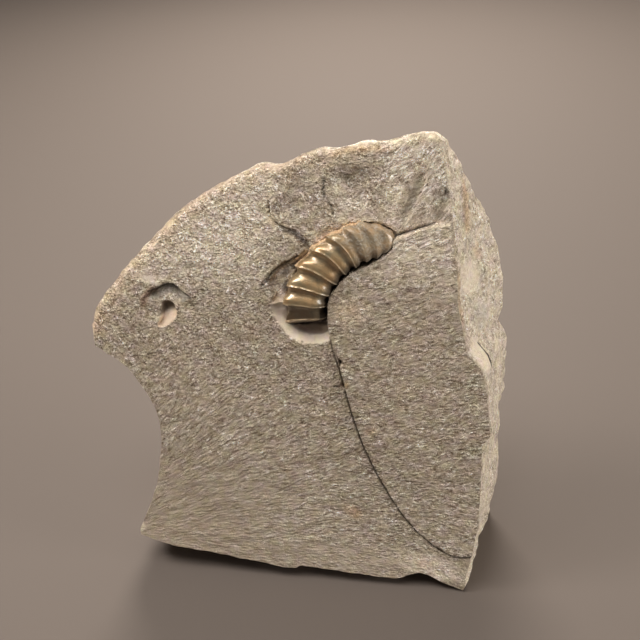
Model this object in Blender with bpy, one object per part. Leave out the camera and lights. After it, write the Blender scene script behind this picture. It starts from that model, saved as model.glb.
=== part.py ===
"""A pyritised ammonite whorl in the split stone that holds it.

The stone is a wedge of grey mudstone. Its flat front face was split off along
the bedding, and a thin plate still covers the lower right of it. The face leans
back, and the stone stands a little rolled on its foot, which is cut flat at z = 0.

Sizes are in millimetres on the face: across (+X), up the face, and proud of it.
"stand_up" turns them into metres in the part's own frame, with the origin in
the middle of the foot.
"""

import math

import bmesh
import bpy
import numpy as np
from mathutils import Vector, noise
from mathutils.geometry import delaunay_2d_cdt

MM = 0.001

# How the stone stands
LEAN = math.radians(15.0)       # the face leans back from upright
ROLL = math.radians(2.4)        # and its left side is raised off the ground
FACE_TO_MIDDLE = 17.3           # from the face's foot back to the part's origin
FOOT_SHIFT, FOOT_RISE = 11.9, 1.76  # set the foot's middle at the origin and its corner on the ground

# The face's edge, as (across, up) points from the lower right corner round
RIGHT_EDGE_LOW = ((42.0, 0.8), (42.6, 7.5), (43.5, 15.0), (43.7, 22.0), (43.3, 31.0), (42.6, 41.5))
RIGHT_EDGE_MIDDLE = ((44.1, 44.3), (43.3, 50.0), (41.7, 57.5), (40.3, 61.2))
RIGHT_EDGE_TOP = ((37.2, 64.0), (35.8, 69.0), (34.2, 75.0), (33.4, 81.0), (31.6, 91.0), (29.4, 101.0),
                  (27.7, 111.0))
TOP_EDGE = ((25.8, 112.5), (21.7, 111.9), (18.0, 110.4), (14.2, 109.5), (10.6, 109.3), (4.6, 107.7),
            (1.5, 107.8), (-6.2, 104.0), (-11.6, 103.3), (-20.4, 98.6), (-29.7, 91.4), (-41.4, 78.7),
            (-48.8, 68.8), (-50.9, 63.0))
BITE = ((-50.2, 58.1), (-44.2, 54.6), (-40.6, 50.9), (-35.8, 43.2), (-34.5, 34.5), (-36.2, 21.2),
        (-40.6, 8.4))
FOOT_EDGE = ((-40.5, 6.8), (-33.0, 4.7), (-18.0, 3.3), (-1.6, 1.7), (2.6, 2.6), (22.0, 1.9),
             (26.0, 2.4), (31.5, 4.4), (37.0, 2.3))

# The broken faces behind: a point on each one's upper edge, the way it runs in under
# the face, its depth at that edge and how fast it deepens
BROKEN_BACK = (
    # (across, up), inward direction, depth at the edge, depth gained per mm inward
    ((-30.0, 87.6), (0.73, -0.68), 3.0, 0.86),
    ((8.0, 109.5), (0.26, -0.97), 2.6, 0.80),
    ((-50.8, 58.0), (1.00, 0.06), 5.5, 0.88),
    ((0.0, 108.0), (0.10, -1.00), 20.5, 0.10),
    ((46.0, 20.0), (-0.95, 0.31), 27.0, 0.16),
)
THICKNESS = 30.5                # of the stone at its thickest
FLARE_HEIGHTS = (0.0, 45.0, 56.0, 68.0, 101.0, 112.0)
FLARE = (0.24, 0.17, 0.22, 0.40, 0.41, 0.12)   # how fast the right side widens behind the face
FLARE_FROM, FLARE_FULL = -30.0, 25.0

# The thin plate that covers the lower right of the face, from its top edge down the crack
PLATE_TOP = ((32.4, 93.9), (28.1, 93.0), (24.6, 91.8), (21.0, 90.2), (18.7, 89.2))
PLATE_BY_WHORL = ((18.6, 87.2), (14.8, 83.9), (12.2, 82.4), (9.6, 80.9), (7.6, 78.6), (5.8, 75.9),
                  (5.1, 73.3), (5.2, 69.5), (6.6, 62.8))
PLATE_CRACK = ((8.5, 57.6), (11.4, 47.8), (15.4, 37.6), (20.3, 28.4), (26.6, 19.2), (32.8, 13.4),
               (38.6, 10.3), (43.4, 10.7))
PLATE_HEIGHT_TOP = 0.95
PLATE_HEIGHT_FOOT = 0.45
PLATE_EDGE_WIDTH = 0.5

# The ammonite's whorl: a ribbed tube along a growth spiral, narrow end first
SPIRAL_CENTRE = (21.4, 72.3)
SPIRAL_START, SPIRAL_END = math.radians(97.3), math.radians(190.5)
SPIRAL_RADIUS = 17.10           # of the tube's middle at the narrow end
SPIRAL_GROWTH = 0.168           # the radius grows by e to this power each radian
WHORL_HALF_WIDTH = (4.05, 4.70)     # narrow end, wide end
WHORL_HALF_HEIGHT = (2.80, 3.90)
WHORL_SINK = (-0.55, -0.95)     # its middle lies this far under the face
NARROW_END_LENGTH = math.radians(19.0)     # over which the narrow end rounds off
NARROW_END_BLUNTNESS = 0.36
LAST_FALL_FROM, LAST_FALL_LENGTH = math.radians(175.0), math.radians(13.0)
LAST_NARROWING = 0.34           # of the outer half, towards the broken end
LAST_LOWERING = 0.60            # of the height, towards the broken end
RIB_CRESTS = np.radians((91.5, 101.0, 110.5, 120.4, 131.0, 142.1, 154.8, 167.0, 177.8, 188.0, 198.0))
RIB_PROFILE = (1.0, 0.30, 0.05, 0.28, 0.75, 0.88, 1.0)      # from each crest to the next
RIB_HEIGHT = 0.70
KNOB_HEIGHT = 0.46
KNOB_AT = math.radians(42.0)    # round the tube, from its outer side towards the front
POCKET_GAP = 0.35               # between the whorl and the stone

# The hollow that the whorl's missing end left, and the trench picked out along its outer side
WHORL_MOULD = ((8.0, 68.0), (4.0, 74.0), (-5.1, 74.2), (-7.1, 73.1), (-7.9, 71.1), (-7.0, 68.8),
               (-5.2, 66.5), (-3.0, 64.4), (0.3, 63.1), (2.6, 63.1), (5.6, 64.1), (8.0, 66.0))
WHORL_MOULD_DEPTH, WHORL_MOULD_WALL = 2.0, 2.8
TRENCH = ((5.0, 84.0), (-0.4, 86.0), (-2.1, 83.8), (-3.7, 82.8), (-5.2, 82.2), (-6.8, 80.9), (-8.1, 78.9),
          (-9.0, 77.4), (-8.5, 75.8), (-7.6, 74.0), (-8.0, 72.3), (1.0, 72.3))
TRENCH_DEPTH, TRENCH_WALL = 1.3, 0.9

# Other hollows in the face: middle, half length, half width, turn, depth
SMALL_MOULD = ((-32.0, 70.6), 5.6, 4.4, math.radians(12.0), 1.1)
SMALL_MOULD_PIT = ((-32.2, 68.2), 3.4, 2.5, math.radians(62.0), 1.9)
FLAKE_SCARS = (
    ((-4.2, 93.6), 4.6, 3.9, math.radians(80.0), 0.65),
    ((10.8, 99.5), 8.5, 6.6, math.radians(70.0), 0.70),
    ((25.5, 100.0), 9.0, 4.2, math.radians(64.0), 0.70),
)

# Above the whorl and the plate a flake has come off, deepest along its lower edge
RECESS_EDGE = ((-5.0, 98.2), (-8.2, 95.0), (-7.6, 91.0), (-5.2, 89.4), (-2.4, 88.2), (0.6, 86.0))
RECESS_DEPTH = 0.9
RECESS_FADE = 21.0              # how far up the face it fades out
RIM_ROUND_WIDTH, RIM_ROUND_DEPTH = 1.5, 0.8    # the weathered rim along the top edge

# Roughness of the broken stone and the size of its facets
FACE_SWELL = 0.45
ROCK_SWELL = 1.5
HEAVE_PLACES = ((72.6, 28.5, 13.4), (62.9, 40.4, 71.9), (21.2, 28.8, 72.0))    # of the noise, for x, y, z
EDGE_STEP = 2.4                 # between points along the face's edge
FACE_STEP = 3.1                 # between points on the face
DETAIL_STEP = 1.5               # and near the whorl, the scars and the small mould
DETAIL_AREAS = (((6.0, 78.0), 15.0), ((-3.5, 93.0), 6.5), ((12.0, 99.0), 9.0), ((26.0, 97.0), 7.0),
                ((-31.8, 70.2), 6.5))
BACK_STEP = 5.0
WALL_RINGS = (0.06, 0.22, 0.45, 0.70, 0.88)

RINGS_PER_RIB = 6
WHORL_SIDES = 16


def smooth_line(points, step):
    """Points every `step` mm along a smooth curve through the given ones."""
    points = [Vector(p) for p in points]
    ends = [2 * points[0] - points[1], *points, 2 * points[-1] - points[-2]]
    line = []
    for before, start, end, after in zip(ends, ends[1:], ends[2:], ends[3:]):
        count = max(1, round((end - start).length / step))
        for i in range(count):
            t = i / count
            line.append(0.5 * (2 * start + t * (end - before)
                               + t * t * (2 * before - 5 * start + 4 * end - after)
                               + t ** 3 * (3 * start - before - 3 * end + after)))
    return np.array([tuple(p) for p in line + [points[-1]]])


def face_edge(step):
    """The face's closed edge, with its corners left sharp."""
    stretches = (RIGHT_EDGE_LOW, RIGHT_EDGE_MIDDLE, RIGHT_EDGE_TOP, TOP_EDGE, BITE, FOOT_EDGE)
    return np.concatenate([smooth_line(stretch, step) for stretch in stretches])


def plate_edge(step):
    """The plate's free edge: along its top, round the whorl and down the crack."""
    return np.concatenate([smooth_line(PLATE_TOP, step), smooth_line(PLATE_BY_WHORL, step),
                           smooth_line(PLATE_CRACK, step)])


def inside(points, loop):
    """Which of the points lie inside a closed loop."""
    x, y = points[:, :1], points[:, 1:]
    start, end = loop, np.roll(loop, -1, axis=0)
    spans = (start[:, 1] > y) != (end[:, 1] > y)
    rise = np.where(end[:, 1] == start[:, 1], 1.0, end[:, 1] - start[:, 1])
    crossing = start[:, 0] + (y - start[:, 1]) / rise * (end[:, 0] - start[:, 0])
    return (np.sum(spans & (x < crossing), axis=1) % 2).astype(bool)


def distance(points, line, closed=False):
    """How far each point is from a line of points."""
    start = line if closed else line[:-1]
    run = (np.roll(line, -1, axis=0) if closed else line[1:]) - start
    away = points[:, None, :] - start[None, :, :]
    along = np.sum(away * run, axis=2) / np.maximum(np.sum(run * run, axis=1), 1e-9)
    away -= np.clip(along, 0.0, 1.0)[:, :, None] * run
    return np.sqrt(np.min(np.sum(away * away, axis=2), axis=1))


def ease(value):
    """0 below 0, 1 above 1, and a smooth rise between."""
    value = np.clip(value, 0.0, 1.0)
    return value * value * (3.0 - 2.0 * value)


def swell(points, wavelength, seed):
    """Smooth, seeded unevenness between about -1 and 1."""
    return np.array([noise.noise((p[0] / wavelength, p[1] / wavelength, seed)) for p in points])


def growth(angle):
    """How far along the whorl an angle is, from 0 to 1."""
    return (angle - SPIRAL_START) / (SPIRAL_END - SPIRAL_START)


def between(ends, part):
    return ends[0] + (ends[1] - ends[0]) * part


def spiral_radius(angle):
    return SPIRAL_RADIUS * np.exp(SPIRAL_GROWTH * (angle - SPIRAL_START))


def on_plate(points):
    """Which of the points the plate covers."""
    return inside(points, np.concatenate([plate_edge(EDGE_STEP), [(60.0, 10.0), (60.0, 95.0)]]))


def plate_height(points):
    """The plate stands proud of the face, less so towards the foot."""
    rise = between((PLATE_HEIGHT_FOOT, PLATE_HEIGHT_TOP), ease((points[:, 1] - 20.0) / 60.0))
    return rise * ease(distance(points, plate_edge(EDGE_STEP)) / PLATE_EDGE_WIDTH)


def recess_depth(points):
    """The flaked area above the whorl and the plate steps down, then rises to the rim."""
    left, right = smooth_line(RECESS_EDGE, 1.0), smooth_line(PLATE_TOP, 1.0)[::-1]
    area = np.concatenate([left, right, [(60.0, 120.0), (0.0, 120.0)]])
    away = distance(points, np.concatenate([left, right]))
    return inside(points, area) * RECESS_DEPTH * (1.0 - ease(away / RECESS_FADE))


def rim_drop(points):
    """The weathered rim along the top edge is rounded off, unevenly."""
    away = distance(points, smooth_line(TOP_EDGE, EDGE_STEP)) / RIM_ROUND_WIDTH
    return RIM_ROUND_DEPTH * (1.0 - ease(away + 0.3 * swell(points, 4.0, 5.0)))


def dish(points, hollow):
    """Depth of an oval hollow with an uneven rim."""
    (across, up), half_length, half_width, turn, depth = hollow
    x, y = points[:, 0] - across, points[:, 1] - up
    along = (x * math.cos(turn) + y * math.sin(turn)) / half_length
    aside = (y * math.cos(turn) - x * math.sin(turn)) / half_width
    return depth * ease(1.35 * (1.0 - np.hypot(along, aside)) + 0.18 * swell(points, 3.5, across))


def sunk(points, outline, depth, wall):
    """Depth of a hollow inside an outline, which it reaches over the width of its wall."""
    outline = np.array(outline)
    return inside(points, outline) * depth * ease(distance(points, outline, closed=True) / wall)


def face_height(points):
    """How proud of the flat the stone's face is at each point."""
    covered = on_plate(points)
    height = FACE_SWELL * swell(points, 26.0, 1.0) + 0.35 * FACE_SWELL * swell(points, 7.0, 2.0)
    dips = recess_depth(points)
    dips += sunk(points, WHORL_MOULD, WHORL_MOULD_DEPTH, WHORL_MOULD_WALL)
    dips = np.maximum(dips, sunk(points, TRENCH, TRENCH_DEPTH, TRENCH_WALL))
    for hollow in FLAKE_SCARS:
        dips += dish(points, hollow)
    height += np.where(covered, plate_height(points), -dips)
    return height - dish(points, SMALL_MOULD) - dish(points, SMALL_MOULD_PIT) - rim_drop(points)


def back_depth(points):
    """How far behind the face the broken back lies."""
    depth = np.full(len(points), THICKNESS)
    for (across, up), (right, rise), start, slope in BROKEN_BACK:
        inward = (points[:, 0] - across) * right + (points[:, 1] - up) * rise
        depth = np.minimum(depth, start + slope * inward)
    return np.maximum(depth, 1.6)


def scattered(area, step, seed):
    """Points about `step` apart inside a closed edge, clear of the edge itself."""
    rng = np.random.default_rng(seed)
    low, high = area.min(axis=0), area.max(axis=0)
    rows = np.arange(low[1], high[1], step * 0.87)
    cols = np.arange(low[0], high[0], step)
    grid = np.array([(x + step / 2 * (i % 2), y) for i, y in enumerate(rows) for x in cols])
    grid += rng.uniform(-0.28 * step, 0.28 * step, grid.shape)
    return grid[inside(grid, area) & (distance(grid, area, closed=True) > 0.55 * step)]


def near_detail(points):
    close = np.zeros(len(points), dtype=bool)
    for middle, radius in DETAIL_AREAS:
        close |= np.hypot(*(points - middle).T) < radius
    return close


def face_points(edge):
    """Points spread over the face, closer together where it is worked."""
    wide = scattered(edge, FACE_STEP, 11)
    fine = scattered(edge, DETAIL_STEP, 12)
    spread = np.concatenate([wide[~near_detail(wide)], fine[near_detail(fine)]])
    return spread[distance(spread, plate_edge(EDGE_STEP)) > 1.1]


def plate_steps():
    """The two lines of the plate's ledge: its foot, and its brink a little inside."""
    foot = plate_edge(EDGE_STEP)
    run = np.gradient(foot, axis=0)
    aside = np.column_stack([-run[:, 1], run[:, 0]]) / np.hypot(*run.T)[:, None]
    return foot[1:-1], (foot + PLATE_EDGE_WIDTH * aside)[1:-2]


def skin(bm, edge, spread, creases, to_slab):
    """Triangles over the area inside the edge; returns the border's vertices in order."""
    lines = [(i, (i + 1) % len(edge)) for i in range(len(edge))]
    flat = np.concatenate([edge, spread, *creases])
    first = len(edge) + len(spread)
    for crease in creases:
        lines += [(i, i + 1) for i in range(first, first + len(crease) - 1)]
        first += len(crease)
    coords, _, faces, origins, _, _ = delaunay_2d_cdt([Vector(p) for p in flat], lines, [], 1, 1e-5)
    slab = to_slab(np.array([tuple(p) for p in coords]))
    verts = [bm.verts.new(p) for p in slab]
    for face in faces:
        bm.faces.new([verts[i] for i in face])
    place = {source: i for i, sources in enumerate(origins) for source in sources}
    return [verts[place[i]] for i in range(len(edge))]


def on_face(points):
    return np.column_stack([points, face_height(points)])


def on_back(points):
    return np.column_stack([points, -back_depth(points)])


def heave(point, wavelength):
    """A smooth push in some direction, each part of it between about -1 and 1."""
    place = point / wavelength
    return Vector([noise.noise(place + Vector(away)) for away in HEAVE_PLACES])


def roughen(point):
    """Break up the sides and the back; the face keeps its own relief."""
    fade = ease((-point.z - 0.6) / 4.0)
    wave = ROCK_SWELL * (heave(point, 17.0) + 0.42 * heave(point, 6.0))
    return point + wave * float(fade)


def flare(point):
    """Widen the stone to the right behind its face."""
    rate = np.interp(point.y, FLARE_HEIGHTS, FLARE)
    share = min(max((point.x - FLARE_FROM) / (FLARE_FULL - FLARE_FROM), 0.0), 1.0)
    return Vector((point.x + rate * share * max(-point.z, 0.0), point.y, point.z))


def stand_up(point):
    """From (across, up the face, proud of it) in mm to the part's frame in metres."""
    across, up, proud = point
    back = up * math.sin(LEAN) - proud * math.cos(LEAN) - FACE_TO_MIDDLE
    height = up * math.cos(LEAN) + proud * math.sin(LEAN)
    right = across * math.cos(ROLL) + height * math.sin(ROLL) - FOOT_SHIFT
    return Vector((right, back, height * math.cos(ROLL) - across * math.sin(ROLL) + FOOT_RISE)) * MM


def cut_foot(bm):
    """Cut the stone off flat at z = 0 and close the cut."""
    whole = bm.verts[:] + bm.edges[:] + bm.faces[:]
    cut = bmesh.ops.bisect_plane(bm, geom=whole, plane_co=(0, 0, 0), plane_no=(0, 0, -1), clear_outer=True)
    rim = [item for item in cut["geom_cut"] if isinstance(item, bmesh.types.BMEdge)]
    for edge in rim:
        for vert in edge.verts:
            vert.co.z = 0.0
    bmesh.ops.triangle_fill(bm, edges=rim, use_beauty=True)


def new_object(name, bm, collection, material=None):
    mesh = bpy.data.meshes.new(name)
    bmesh.ops.recalc_face_normals(bm, faces=bm.faces)
    bm.to_mesh(mesh)
    bm.free()
    thing = bpy.data.objects.new(name, mesh)
    collection.objects.link(thing)
    if material:
        mesh.materials.append(material)
    return thing


def principled(name, colour, roughness, metallic):
    material = bpy.data.materials.new(name)
    material.use_nodes = True
    shader = material.node_tree.nodes["Principled BSDF"]
    shader.inputs["Base Color"].default_value = (*colour, 1.0)
    shader.inputs["Roughness"].default_value = roughness
    shader.inputs["Metallic"].default_value = metallic
    return material


def make_stone(collection):
    """The matrix: a face skin, a back skin, and walls of rings between their borders."""
    bm = bmesh.new()
    edge = face_edge(EDGE_STEP)
    border = skin(bm, edge, face_points(edge), plate_steps(), on_face)
    far_border = skin(bm, edge, scattered(edge, BACK_STEP, 13), [], on_back)
    rings = [border]
    for part in WALL_RINGS:
        rings.append([bm.verts.new(a.co.lerp(b.co, part)) for a, b in zip(border, far_border)])
    rings.append(far_border)
    for ring, behind in zip(rings, rings[1:]):
        for i in range(len(ring)):
            j = (i + 1) % len(ring)
            bm.faces.new((ring[i], ring[j], behind[j], behind[i]))
    for vert in bm.verts:
        vert.co = stand_up(flare(roughen(vert.co)))
    cut_foot(bm)
    bmesh.ops.triangulate(bm, faces=bm.faces[:])
    mudstone = principled("grey mudstone", (0.27, 0.24, 0.20), 0.9, 0.0)
    return new_object("matrix", bm, collection, mudstone)


def rib_rise(angle):
    """Sharp crests that drop steeply on the side of the wide end, like lapped scales."""
    past_crest = np.interp(angle, RIB_CRESTS, np.arange(len(RIB_CRESTS))) % 1.0
    return np.interp(past_crest * (len(RIB_PROFILE) - 1), np.arange(len(RIB_PROFILE)), RIB_PROFILE)


def whorl_ring(angle, taper, extra, ribbed):
    """One section across the whorl, as points in (across, up, proud)."""
    part = growth(angle)
    outward = Vector((math.cos(angle), math.sin(angle), 0.0))
    middle = Vector((*SPIRAL_CENTRE, between(WHORL_SINK, part))) + outward * spiral_radius(angle)
    width = between(WHORL_HALF_WIDTH, part)
    fall = float(ease((angle - LAST_FALL_FROM) / LAST_FALL_LENGTH))
    height = between(WHORL_HALF_HEIGHT, part) * (1.0 - (LAST_LOWERING * fall if ribbed else 0.0))
    crest = rib_rise(angle) * (0.35 + 0.65 * float(ease(part * 2.5)))
    ring = []
    for side in range(WHORL_SIDES):
        turn = 2.0 * math.pi * side / WHORL_SIDES
        knob = KNOB_HEIGHT * math.exp(-((turn - KNOB_AT) / 0.45) ** 2)
        rise = crest * (RIB_HEIGHT + knob) - 0.5 * RIB_HEIGHT if ribbed else 0.5 * RIB_HEIGHT
        if not ribbed:
            rise += knob
        narrowing = 1.0 - LAST_NARROWING * fall * max(math.cos(turn), 0.0)
        reach = outward * math.cos(turn) * (width * narrowing + rise + extra)
        ring.append(middle + (reach + Vector((0, 0, math.sin(turn) * (height + rise + extra)))) * taper)
    return ring


def whorl_mesh(angles, tapers, extra, ribbed):
    """Loft the whorl's sections and close both ends."""
    bm = bmesh.new()
    rings = []
    for angle, taper in zip(angles, tapers):
        ring = whorl_ring(angle, taper, extra, ribbed)
        rings.append([bm.verts.new(stand_up(p)) for p in ring])
    for ring, onward in zip(rings, rings[1:]):
        for i in range(WHORL_SIDES):
            j = (i + 1) % WHORL_SIDES
            bm.faces.new((ring[i], ring[j], onward[j], onward[i]))
    bm.faces.new(reversed(rings[0]))
    bm.faces.new(rings[-1])
    bmesh.ops.triangulate(bm, faces=bm.faces[:])
    return bm


def whorl_sections(ends_out):
    """Angles along the whorl, closer and smaller where its two ends round off."""
    ribs = np.arange(len(RIB_CRESTS))
    body = np.interp(np.arange(0.0, ribs[-1], 1.0 / RINGS_PER_RIB), ribs, RIB_CRESTS)
    body = body[(body > SPIRAL_START + 0.035) & (body < SPIRAL_END - 0.045)]
    tip_angles = SPIRAL_START - ends_out + np.array([0.002, 0.008, 0.02])
    end_angles = SPIRAL_END + ends_out - np.array([0.03, 0.008, 0.0])
    angles = np.concatenate([tip_angles, body, end_angles])
    from_tip = np.clip((angles - SPIRAL_START + ends_out) / NARROW_END_LENGTH, 0.0, 1.0)
    tapers = from_tip ** NARROW_END_BLUNTNESS
    tapers[-3:] = 0.97, 0.86, 0.66
    return angles, tapers


def make_ammonite(collection):
    angles, tapers = whorl_sections(0.0)
    pyrite = principled("pyritised shell", (0.30, 0.20, 0.09), 0.38, 0.8)
    whorl = new_object("ammonite", whorl_mesh(angles, tapers, 0.0, True), collection, pyrite)
    whorl.data.shade_smooth()
    return whorl


def make_pocket_cutter(collection):
    """The whorl's plain shape, larger by the gap, which cuts its seat in the stone."""
    angles, tapers = whorl_sections(0.022)
    cutter = new_object("whorl_pocket", whorl_mesh(angles, tapers, POCKET_GAP, False), collection)
    cutter.display_type = "WIRE"
    cutter.hide_render = True
    return cutter


def new_collection(name):
    collection = bpy.data.collections.new(name)
    bpy.context.scene.collection.children.link(collection)
    return collection


for leftover in list(bpy.data.objects):
    bpy.data.objects.remove(leftover, do_unlink=True)

parts = new_collection("ammonite_fossil")
cutters = new_collection("cutters")

stone = make_stone(parts)
make_ammonite(parts)
pocket = stone.modifiers.new("whorl pocket", "BOOLEAN")
pocket.operation = "DIFFERENCE"
pocket.solver = "EXACT"
pocket.object = make_pocket_cutter(cutters)
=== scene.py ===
import math

import bmesh
import bpy
import numpy as np
from mathutils import Matrix, Vector, noise
from mathutils.geometry import delaunay_2d_cdt


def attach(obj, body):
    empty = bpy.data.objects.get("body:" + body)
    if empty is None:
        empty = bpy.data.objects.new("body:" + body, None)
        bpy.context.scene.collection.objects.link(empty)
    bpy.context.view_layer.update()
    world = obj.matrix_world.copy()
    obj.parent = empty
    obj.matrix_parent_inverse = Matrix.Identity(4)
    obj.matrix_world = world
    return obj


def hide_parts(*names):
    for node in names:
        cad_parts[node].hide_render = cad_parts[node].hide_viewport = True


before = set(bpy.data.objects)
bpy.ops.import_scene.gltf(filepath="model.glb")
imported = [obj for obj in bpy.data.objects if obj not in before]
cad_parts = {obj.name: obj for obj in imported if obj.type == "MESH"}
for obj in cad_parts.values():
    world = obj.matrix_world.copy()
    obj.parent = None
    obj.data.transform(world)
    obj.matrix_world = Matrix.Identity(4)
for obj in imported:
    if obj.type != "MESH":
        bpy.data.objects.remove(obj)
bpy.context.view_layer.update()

# ---- The mudstone block ------------------------------------------------------------------
# A wedge of grey mudstone, split along its bedding to show the fossil. The split left a
# grainy face, a thin plate still lying on its lower right, and broken sides and back. It
# stands on a sawn foot and its face leans back. Lengths here are mm: across, up, proud.

MM = 0.001
LEAN, ROLL = math.radians(15.0), math.radians(2.4)
FACE_TO_MIDDLE = 17.3
FOOT_SHIFT, FOOT_RISE = 11.9, 1.76

RIGHT_EDGE_LOW = ((42.0, 0.8), (42.6, 7.5), (43.5, 15.0), (43.7, 22.0), (43.3, 31.0), (42.6, 41.5))
RIGHT_EDGE_MIDDLE = ((44.1, 44.3), (43.3, 50.0), (41.7, 57.5), (40.3, 61.2))
RIGHT_EDGE_TOP = ((37.2, 64.0), (35.8, 69.0), (34.2, 75.0), (33.4, 81.0), (31.6, 91.0), (29.4, 101.0),
                  (27.7, 111.0))
TOP_EDGE = ((25.8, 112.5), (21.7, 111.9), (18.0, 110.4), (14.2, 109.5), (10.6, 109.3), (4.6, 107.7),
            (1.5, 107.8), (-6.2, 104.0), (-11.6, 103.3), (-20.4, 98.6), (-29.7, 91.4), (-41.4, 78.7),
            (-48.8, 68.8), (-50.9, 63.0))
BITE = ((-50.2, 58.1), (-44.2, 54.6), (-40.6, 50.9), (-35.8, 43.2), (-34.5, 34.5), (-36.2, 21.2),
        (-40.6, 8.4))
FOOT_EDGE = ((-40.5, 6.8), (-33.0, 4.7), (-18.0, 3.3), (-1.6, 1.7), (2.6, 2.6), (22.0, 1.9),
             (26.0, 2.4), (31.5, 4.4), (37.0, 2.3))

# Each broken face behind: a point on its upper edge, the way it runs in under the face,
# its depth at that edge and how fast it deepens
BROKEN_BACK = (
    ((-30.0, 87.6), (0.73, -0.68), 3.0, 0.86),
    ((8.0, 109.5), (0.26, -0.97), 2.6, 0.80),
    ((-50.8, 58.0), (1.00, 0.06), 5.5, 0.88),
    ((0.0, 108.0), (0.10, -1.00), 20.5, 0.10),
    ((46.0, 20.0), (-0.95, 0.31), 27.0, 0.16),
)
THICKNESS = 30.5
FLARE_HEIGHTS = (0.0, 45.0, 56.0, 68.0, 101.0, 112.0)
FLARE = (0.24, 0.17, 0.22, 0.40, 0.41, 0.12)
FLARE_FROM, FLARE_FULL = -30.0, 25.0

PLATE_TOP = ((32.4, 93.9), (30.4, 93.5), (28.1, 93.0), (26.0, 92.4), (24.6, 91.8), (22.5, 90.8),
             (21.0, 90.2), (18.7, 89.2))
PLATE_BY_WHORL = ((18.6, 87.2), (17.2, 85.8), (14.8, 83.9), (12.2, 82.4), (9.6, 80.9), (7.6, 78.6),
                  (5.8, 75.9), (5.1, 73.3), (5.2, 69.5), (5.7, 66.0), (6.6, 62.8))
PLATE_CRACK = ((8.5, 57.6), (11.4, 47.8), (15.4, 37.6), (20.3, 28.4), (26.6, 19.2), (32.8, 13.4),
               (38.6, 10.3), (43.4, 10.7))
PLATE_HEIGHT_TOP = 0.95
PLATE_HEIGHT_FOOT = 0.45
PLATE_EDGE_WIDTH = 0.28
CRACK_DEPTH = 0.75
CRACK_WIDTH = 0.34
CRACK_PITS = (((8.5, 59.4), 0.95, 0.55, math.radians(110.0), 1.0),
              ((9.4, 53.2), 0.90, 0.50, math.radians(115.0), 0.9),
              ((8.0, 53.0), 0.60, 0.45, 0.0, 0.6))

# The whorl's seat follows the whorl itself: a tube along a growth spiral
SPIRAL_CENTRE = (21.4, 72.3)
SPIRAL_START, SPIRAL_END = math.radians(97.3), math.radians(190.5)
SPIRAL_RADIUS = 17.10
SPIRAL_GROWTH = 0.168
WHORL_HALF_WIDTH = (4.05, 4.70)
WHORL_HALF_HEIGHT = (2.80, 3.90)
WHORL_SINK = (-0.55, -0.95)
NARROW_END_LENGTH = math.radians(19.0)
NARROW_END_BLUNTNESS = 0.36
NARROW_END_SLANT, NARROW_END_SLANT_LENGTH = math.radians(2.0), math.radians(30.0)
LAST_FALL_FROM, LAST_FALL_LENGTH = math.radians(175.0), math.radians(13.0)
LAST_NARROWING = 0.34           # of the outer half, towards the broken end
SEAT_GAP = (0.03, 0.25)         # at the narrow and the wide end
SEAT_ENDS = (0.15, 0.9)         # how far the seat reaches beyond the whorl's two ends
INNER_GAP_DEPTH = 2.3           # between the whorl's inner side and the plate

# The hollow that the whorl's missing end left, and the trench along its outer side
WHORL_MOULD = ((8.0, 68.0), (4.0, 74.0), (-5.1, 74.2), (-7.1, 73.1), (-7.9, 71.1), (-7.0, 68.8),
               (-5.2, 66.5), (-3.0, 64.4), (0.3, 63.1), (2.6, 63.1), (5.6, 64.1), (8.0, 66.0))
WHORL_MOULD_DEPTH, WHORL_MOULD_WALL = 1.8, 2.5
TRENCH = ((5.0, 84.0), (-0.4, 86.0), (-2.1, 83.8), (-3.7, 82.8), (-5.2, 82.2), (-6.8, 80.9), (-8.1, 78.9),
          (-9.0, 77.4), (-8.5, 75.8), (-7.6, 74.0), (-8.0, 72.3), (1.0, 72.3))
TRENCH_DEPTH, TRENCH_WALL = 1.3, 0.9

# Flakes lost above the whorl: hollows (middle, half length, half width, turn, depth), the
# edge where the surface steps down, and the gully under the small scar with its widths
FLAKE_SCARS = (
    ((-4.6, 93.4), 4.2, 3.6, math.radians(80.0), 0.30),
    ((9.2, 99.8), 6.4, 5.2, math.radians(120.0), 1.35),
    ((21.6, 97.6), 9.5, 2.3, math.radians(68.0), 0.95),
    ((28.0, 96.6), 6.6, 2.8, math.radians(78.0), 0.95),
)
RECESS_EDGE = ((-5.0, 98.2), (-8.2, 95.0), (-7.6, 91.0), (-5.2, 89.4), (-2.4, 88.2), (0.6, 86.0))
RECESS_DEPTH = 0.9
RECESS_FADE = 21.0
GULLY = ((-8.9, 95.4), (-8.7, 92.6), (-7.6, 90.8), (-5.6, 89.5), (-3.4, 88.8), (-1.5, 87.4), (0.2, 86.0),
         (1.4, 84.6))
GULLY_WIDTHS = ((-9.0, -7.0, -4.0, 0.5), (0.35, 0.55, 0.85, 1.25))
GULLY_DEPTH = 0.85
RIM_ROUND_WIDTH, RIM_ROUND_DEPTH = 1.5, 0.8

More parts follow.
